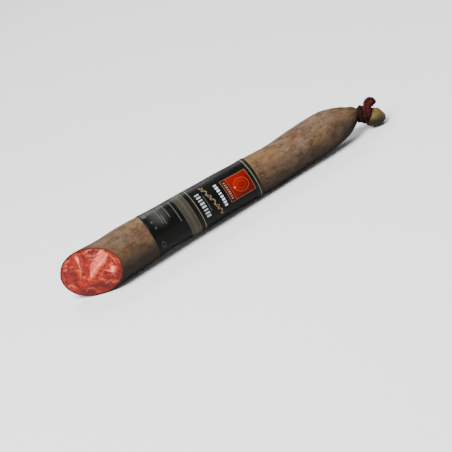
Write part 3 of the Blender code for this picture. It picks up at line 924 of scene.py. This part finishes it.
# %% Band material
def band_material():
    """Satin black paper, with a painted sheen and each printed shape laid over it by its mask."""
    material, tree, shader, where = begin("printed_band", 0.4, 0.07)
    place = node(tree, "ShaderNodeUVMap", uv_map="print").outputs[0]
    split = node(tree, "ShaderNodeSeparateXYZ", {0: place})
    along, y = split.outputs[0], split.outputs[1]
    # The printed lines lie a little askew, as a tilted ring does, so they meet again at the lap.
    askew = calc(tree, "SINE", calc(tree, "DIVIDE", y, PAPER_RADIUS_MM))
    x = calc(tree, "SUBTRACT", along, times(tree, askew, 0.69))
    fibre = grain(tree, where, 900, 3)
    base = mix(tree, fibre, light(7, 7, 6), light(11, 11, 10))
    inks = []

    def ink(mask, tint):
        """One more printed shape: its mask and its screen colour."""
        inks.append((mask, light(*tint)))

    def box(centre, size):
        """Mask of a rectangle on the askew lines."""
        return block(tree, x, y, centre, size)

    # Linen strip with its lines and a row of small lozenges
    threads = calc(tree, "ADD", x, times(tree, y, 0.35))
    weave = calc(tree, "SINE", times(tree, threads, 7.0))
    linen = mix(tree, rise(tree, weave, -0.6, 0.8), light(38, 36, 31), light(62, 59, 52))
    inks.append((stripe(tree, x, 45.9, 11.2), linen))
    fold = calc(tree, "PINGPONG", y, 1.6)
    lozenge = calc(tree, "ADD", fold, calc(tree, "ABSOLUTE", calc(tree, "SUBTRACT", x, 46.2)))
    ring = stripe(tree, lozenge, 1.6, 0.6)
    ink(times(tree, ring, stripe(tree, x, 46.2, 4.4)), (78, 73, 52))
    ink(stripe(tree, x, 54.2, 5.0), (14, 12, 10))
    # (place, width, colour) of the lines that go right round
    for centre, width, tint in (
        (57.3, 0.8, (98, 96, 86)),
        (51.5, 0.6, (74, 71, 62)),
        (40.4, 0.6, (61, 59, 54)),
        (127.7, 0.9, (98, 100, 84)),
        (129.2, 0.4, (46, 52, 43)),
    ):
        ink(stripe(tree, x, centre, width), tint)

    # Painted sheen near the cut end, as a soft grey field; then thin short lines: (place, from, to, width)
    field = rise(tree, distance(tree, along, y, (17.0, -17.0), 0.7), 14.0, 2.0)
    ink(times(tree, field, 0.8), (54, 54, 50))
    for centre, low, high, width in (
        (35.4, -26.3, 3.3, 0.8),
        (27.2, -26.7, -6.7, 0.8),
        (20.2, -13.4, -2.5, 0.7),
        (17.6, -25.4, -4.2, 0.7),
    ):
        ink(box((centre, (low + high) / 2), (width, high - low)), (78, 77, 73))
    ink(stripe(tree, distance(tree, along, y, (4.4, -23.2)), 1.7, 0.8), (82, 82, 79))
    for centre in ((7.4, -11.7), (7.9, -4.2)):
        ink(times(tree, rise(tree, distance(tree, along, y, centre), 1.6, 0.6), 0.8), (72, 72, 73))
    ink(stripe(tree, distance(tree, along, y, (6.9, 15.3), 0.62), 2.0, 0.5), (62, 62, 60))

    # Framed field of fine rows at the back
    back_field = (91.0, 78.0)
    ink(box(back_field, (58.0, 21.0)), (70, 68, 62))
    ink(box(back_field, (56.8, 19.8)), (11, 11, 10))
    row = stripe(tree, calc(tree, "PINGPONG", y, 1.15), 0.0, 1.0)
    broken = rise(tree, grain(tree, place, 0.8, 1, (1.0, 0.0, 0.0)), 0.38, 0.46)
    ink(times(tree, times(tree, row, broken), box(back_field, (52.0, 15.0))), (92, 91, 86))

    # Rows of bars
    ink(bars(tree, x, y, (64.2, 0.6), (5.0, 30.6), 3.82, 3.0), (154, 155, 160))
    ink(bars(tree, x, y, (69.3, 0.4), (1.0, 20.0), 1.25, 8.0), (76, 76, 72))
    ink(bars(tree, x, y, (86.4, 0.3), (3.4, 29.0), 3.6, 5.0), (206, 216, 218))

    # Wavy gold flourish: two ribbons (depth, waves, start, width)
    slant = calc(tree, "SUBTRACT", along, times(tree, y, 0.2076))
    reach = stripe(tree, y, 0.0, 41.5, 2.0)
    for depth, beat, phase, width in ((1.7, 0.95, 0.0, 1.0), (1.4, 0.47, 1.2, 0.7)):
        turn = calc(tree, "ADD", times(tree, y, beat), phase)
        wave = times(tree, calc(tree, "SINE", turn), depth)
        ribbon = stripe(tree, calc(tree, "SUBTRACT", slant, wave), 75.9, width, 0.3)
        ink(times(tree, ribbon, reach), (116, 101, 76))

    # Red panel with a gold edge, a darker strip of bars and a round emblem
    panel = (108.2, 0.1)
    ink(box(panel, (31.4, 27.8)), (112, 80, 54))
    shade = rise(tree, calc(tree, "ADD", along, y), 98.0, 124.0)
    inks.append((box(panel, (30.2, 26.6)), mix(tree, shade, light(118, 12, 3), light(76, 6, 2))))
    ink(box((96.0, 0.1), (5.8, 26.6)), (50, 8, 5))
    ink(box((99.3, 0.1), (0.6, 26.6)), (126, 58, 45))
    ink(bars(tree, x, y, (96.0, 0.2), (2.7, 22.0), 2.75, 2.0), (138, 100, 84))
    emblem = distance(tree, x, y, (111.6, 0.4))
    inks.append((rise(tree, emblem, 8.3, 7.7), mix(tree, shade, light(134, 16, 4), light(84, 9, 3))))
    ink(stripe(tree, emblem, 8.2, 0.9), (140, 48, 26))
    ink(stripe(tree, emblem, 4.6, 0.6), (134, 42, 22))
    ink(rise(tree, distance(tree, x, y, (103.6, 0.4)), 1.5, 0.8), (166, 112, 96))

    ink(value_of(tree, "inside"), (130, 124, 112))
    ink(times(tree, rise(tree, grain(tree, where, 260, 5, warp=1.5), 0.62, 0.74), 0.25), (40, 38, 35))
    colour = lay(tree, base, inks)
    tree.links.new(colour, shader.inputs["Base Color"])
    rough = calc(tree, "MULTIPLY_ADD", grain(tree, where, 120, 4), 0.4, 0.2)
    tree.links.new(rough, shader.inputs["Roughness"])
    relief = calc(tree, "ADD", grain(tree, where, 95, 3), times(tree, fibre, 0.08))
    bump(tree, shader, relief, 0.0004, 0.35)
    return material


paper.data.materials.append(band_material())
print("band material:", len(paper.data.materials[0].node_tree.nodes), "nodes")

# %% [markdown]
# The string
#
# A thick cotton string, stained dark red and nearly black by the curing, goes four times round the
# gathered neck. One end is left as a loop to hang the sausage by, which flops over beside the bulb. String
# is three plies twisted together, so each length of it is three tubes wound round one path. That shows
# the twist from any side, which a bumpy single tube doesn't.

# %% The tie's own axes
STRING = 0.0036
TURNS = 4
TURN_PITCH = 0.0027
tie_middle, tie_ahead, tie_across, tie_up = (
    row[0] for row in centre_and_axes(np.array([(NECK_START + NECK_END) / 2])))
tie_middle = tie_middle - ORIGIN
print("the tie's middle, in mm:", np.round(tie_middle * 1000, 1).tolist())


def from_tie(places):
    """Points given along the neck, across to +Y and up from the tie's middle."""
    places = np.asarray(places)
    return tie_middle + places[:, :1] * tie_ahead + places[:, 1:2] * tie_across + places[:, 2:3] * tie_up


def smooth_route(points, count):
    """Points of a smooth curve through a given route, the smooth value of each coordinate by length."""
    route = np.array(points)
    lengths = np.concatenate([[0.0], np.cumsum(np.linalg.norm(np.diff(route, axis=0), axis=1))])
    steps = np.linspace(0.0, lengths[-1], count)
    return np.stack([through(tuple(zip(lengths, route[:, i])), steps) for i in range(3)], axis=1)


# %% Twisted plies along a path
PLIES = 3
PLY_SIDES = 12
TWIST_LENGTH = 0.0105


def plies(path, beside, thickness, flat):
    """Rings of twisted plies: path + turning offset + small circle, all in the path's own cross-section."""
    tangent = np.gradient(path, axis=0)
    steps = np.linalg.norm(tangent, axis=1, keepdims=True)
    tangent = tangent / steps
    beside = np.broadcast_to(beside, path.shape)
    first = beside - (beside * tangent).sum(axis=1, keepdims=True) * tangent
    first /= np.linalg.norm(first, axis=1, keepdims=True)
    second = np.cross(tangent, first)
    length = np.cumsum(steps[:, 0])
    wobble = 1 + 0.05 * noise(path * 700, 91)
    round_it = np.linspace(0, 2 * math.pi, PLY_SIDES, endpoint=False)
    count_in = np.arange(len(path))
    ends = np.minimum(1.0, 0.55 + 0.15 * np.minimum(count_in, count_in[::-1]))
    rings = []
    for i in range(PLIES):
        phase = 2 * math.pi * (length / TWIST_LENGTH + i / PLIES)
        out = thickness * 0.27 * wobble * ends
        to_side, to_top = out * np.cos(phase), flat * out * np.sin(phase)
        middle = path + to_side[:, None] * first + to_top[:, None] * second
        size = thickness * 0.255 * wobble * ends
        wide = size[:, None] * np.cos(round_it)
        high = size[:, None] * np.sin(round_it) * flat
        rings.append(middle[:, None] + wide[..., None] * first[:, None] + high[..., None] * second[:, None])
    return rings


# Winding: once round for each turn, a pitch further along each time; the last turns are loose and lean
turn = np.linspace(-0.35, TURNS * 2 * math.pi - 0.1, 300)
round_number = turn / (2 * math.pi)
looseness = np.interp(round_number, (0.0, 1.0, 2.0, 3.0, 4.0), (0.0008, 0.0005, 0.0002, 0.0007, 0.0013))
slip = np.interp(round_number, (0.0, 1.0, 2.0, 3.0, 4.0), (-0.0006, -0.0004, 0.0, 0.0003, 0.0008))
wind_radius = NECK_RADIUS + 0.0002 + STRING / 2 + looseness
wind_start = 1.9
outwards = np.cos(turn + wind_start)[:, None] * tie_across + np.sin(turn + wind_start)[:, None] * tie_up
lean = np.radians(np.interp(round_number, (1.0, 2.0, 3.0, 4.0), (0.0, 3.0, 9.0, 14.0)))
forward = TURN_PITCH * (round_number - TURNS / 2) + wind_radius * np.sin(turn + wind_start) * np.sin(lean)
winding = tie_middle + forward[:, None] * tie_ahead - slip[:, None] * tie_up + wind_radius[:, None] * outwards
# The first layer lies flat on the neck under it, half a pitch away, and closes the gaps between turns.
first_forward = TURN_PITCH * 1.08 * (round_number - TURNS / 2) - TURN_PITCH / 2
first_layer = tie_middle + first_forward[:, None] * tie_ahead + (NECK_RADIUS + 0.0012) * outwards

# Loop left standing, and the string's cut end that lies up inside it: (along the neck, across to +Y, up)
LOOP = (
    (0.0000, -0.0075, -0.0030),
    (-0.0006, -0.0096, 0.0020),
    (-0.0009, -0.0085, 0.0066),
    (0.0003, -0.0054, 0.0103),
    (0.0021, -0.0017, 0.0141),
    (0.0060, 0.0004, 0.0166),
    (0.0104, 0.0008, 0.0159),
    (0.0124, 0.0006, 0.0136),
    (0.0110, 0.0002, 0.0115),
    (0.0080, -0.0018, 0.0106),
    (0.0050, -0.0062, 0.0086),
    (0.0038, -0.0094, 0.0036),
    (0.0030, -0.0085, -0.0025),
)
CUT_END = (
    (0.0015, -0.0085, -0.0010),
    (0.0016, -0.0083, 0.0040),
    (0.0026, -0.0060, 0.0088),
    (0.0046, -0.0026, 0.0118),
    (0.0076, -0.0010, 0.0133),
    (0.0100, -0.0006, 0.0134),
)
loop = from_tie(smooth_route(LOOP, 150))
cut_end = from_tie(smooth_route(CUT_END, 70))

# Knot: a turn and a half round the foot of the loop
KNOT_PLACE = (0.0030, -0.0084, 0.0050)
coil = np.linspace(0.0, 3.0 * math.pi, 90)
rise_of_coil = 0.0016 * np.sin(coil) + 0.0011 * (coil / math.pi - 1.5)
coils = np.stack([0.0021 * np.cos(coil), 0.0014 * np.sin(coil), rise_of_coil], axis=1)
knot = from_tie(np.array(KNOT_PLACE) + coils)
print("points: winding", len(winding), "loop", len(loop), "cut end", len(cut_end), "knot", len(knot))

# %% Build the string
# Redness: the winding is nearly black but for the top of its last turns, and so is the loop's far end.
wound_red = 0.06 + 0.5 * ramp(round_number - 2.0, 1.0) * ramp(np.sin(turn + wind_start), 1.0)
loop_share = np.linspace(0, 1, len(loop))
red_places = (0.0, 0.12, 0.2, 0.38, 0.5, 0.62, 0.74, 0.88, 1.0)
loop_red = np.interp(loop_share, red_places, (0.1, 0.4, 1.0, 1.0, 0.3, 0.05, 0.5, 0.7, 0.1))
# Each strand: path, direction beside it, thickness, flatness, redness, how orange it is
strands = (
    (first_layer, outwards, STRING * 0.95, 0.6, 0.0, 0.0),
    (winding, outwards, STRING * 1.05, 0.78, wound_red, 0.0),
    (loop, tie_across, STRING * 1.3, 1.0, loop_red, 0.0),
    (cut_end, tie_across, STRING * 1.3, 1.0, 0.8, 0.8),
    (knot, tie_up, STRING * 0.62, 1.0, 0.5, 0.1),
)
string_points, string_faces, redness, orangeness = [], [], [], []
for path, beside, thickness, flat, red, orange in strands:
    for ply in plies(path, beside, thickness, flat):
        points, faces = capped_rings(ply)
        first = sum(len(done) for done in string_points)
        string_points.append(points)
        string_faces += [[corner + first for corner in face] for face in faces]
        for amount, stored in ((red, redness), (orange, orangeness)):
            ringed = np.repeat(np.broadcast_to(amount, len(path)), PLY_SIDES)
            stored.append(np.append(ringed, ringed[[0, -1]]))
string = new_piece("twisted_string", np.vstack(string_points), string_faces, "string_tie")
give_values(string, "red", np.concatenate(redness))
give_values(string, "orange", np.concatenate(orangeness))
print("string:", len(string_faces), "faces")


# %% String material
def string_material():
    """Cotton fibres as stretched noise, from near black in the winding to dark red and orange in the loop."""
    material, tree, shader, where = begin("stained_string", 0.72, 0.12)
    patch = grain(tree, where, 260, 3, warp=0.8)
    fibre = grain(tree, where, 2600, 4, (1.0, 0.35, 1.0))
    uneven = calc(tree, "MULTIPLY_ADD", patch, 0.9, -0.5)
    red = calc(tree, "ADD", value_of(tree, "red"), uneven, clamp=True)
    colour = lay(tree, light(23, 12, 10), (
        (red, light(70, 15, 23)),
        (value_of(tree, "orange"), light(84, 38, 16)),
        (times(tree, rise(tree, patch, 0.56, 0.7), 0.45), light(66, 32, 18)),
        (times(tree, rise(tree, fibre, 0.5, 0.75), 0.3), light(84, 52, 45)),
    ))
    tree.links.new(colour, shader.inputs["Base Color"])
    bump(tree, shader, fibre, 0.0003, 0.8)
    return material


string.data.materials.append(string_material())
print("string material:", len(string.data.materials[0].node_tree.nodes), "nodes")

# %% [markdown]
# Table, light and camera
#
# The table is a plain pale sheet. Most of the light comes softly from high on the left, where it reaches
# the cut face and the top of the casing, and lets the lower front fall into brown shade, which painted shade
# on the casing deepens. A weaker light from behind puts the pale sheen along the top edge. The camera stands
# low and far off, and is turned so that the sausage runs up to the right across the picture.

# %% Table
floor_mesh = bpy.data.meshes.new("floor")
TABLE_HALF = 6.0
TABLE_DOWN = 0.0002
corner_signs = ((-1, -1), (1, -1), (1, 1), (-1, 1))
floor_corners = [(TABLE_HALF * x, TABLE_HALF * y, -TABLE_DOWN) for x, y in corner_signs]
floor_mesh.from_pydata(floor_corners, [], [(0, 1, 2, 3)])
floor = bpy.data.objects.new("floor", floor_mesh)
bpy.context.scene.collection.objects.link(floor)
floor_material, _, floor_shader, _ = begin("pale_table", 0.9, 0.1)
floor_shader.inputs["Base Color"].default_value = light(242, 242, 242)
floor_mesh.materials.append(floor_material)
print("the table is", 2 * TABLE_HALF, "m across")

# %% Lights
def soft_light(name, azimuth, elevation, away, size, power):
    """Square area light that looks at the sausage from a direction, away metres off."""
    a, e = math.radians(azimuth), math.radians(elevation)
    lamp = bpy.data.lights.new(name, "AREA")
    lamp.size = size
    lamp.energy = power
    made = bpy.data.objects.new(name, lamp)
    bpy.context.scene.collection.objects.link(made)
    direction = np.array((math.sin(a) * math.cos(e), -math.cos(a) * math.cos(e), math.sin(e)))
    made.location = direction * away
    made.rotation_mode = "QUATERNION"
    made.rotation_quaternion = Vector(direction).to_track_quat("Z", "Y")
    return made


soft_light("key_above_left", -50, 62, 2.2, 1.2, 112)
soft_light("rim_from_behind", 175, 40, 2.2, 0.8, 24)
world = bpy.data.worlds.new("studio")
world.use_nodes = True
world.node_tree.nodes["Background"].inputs[0].default_value = (1.0, 1.0, 1.0, 1.0)
world.node_tree.nodes["Background"].inputs[1].default_value = 0.42
bpy.context.scene.world = world
print("two lights and a faint glow all round")

# %% Camera
AZIMUTH = math.radians(-12.286)
ELEVATION = math.radians(21.125)
ROLL = math.radians(-27.451)
level = math.cos(ELEVATION)
back = np.array((math.sin(AZIMUTH) * level, -math.cos(AZIMUTH) * level, math.sin(ELEVATION)))
level_right = np.array((math.cos(AZIMUTH), math.sin(AZIMUTH), 0.0))
level_up = np.cross(back, level_right)
camera_right = math.cos(ROLL) * level_right + math.sin(ROLL) * level_up
camera_up = np.cross(back, camera_right)
camera_data = bpy.data.cameras.new("camera")
camera_data.lens = 133.14
camera_data.sensor_width = 36.0
camera_data.clip_start = 0.05
camera = bpy.data.objects.new("camera", camera_data)
bpy.context.scene.collection.objects.link(camera)
turn_to = Matrix(np.stack([camera_right, camera_up, back], axis=1).tolist()).to_4x4()
camera_place = np.array((-0.20744, -1.64948, 0.64281)) - ORIGIN
camera.matrix_world = Matrix.Translation(camera_place.tolist()) @ turn_to
bpy.context.scene.camera = camera
print("camera", round(float(np.linalg.norm(camera.location)), 3), "m from the origin")
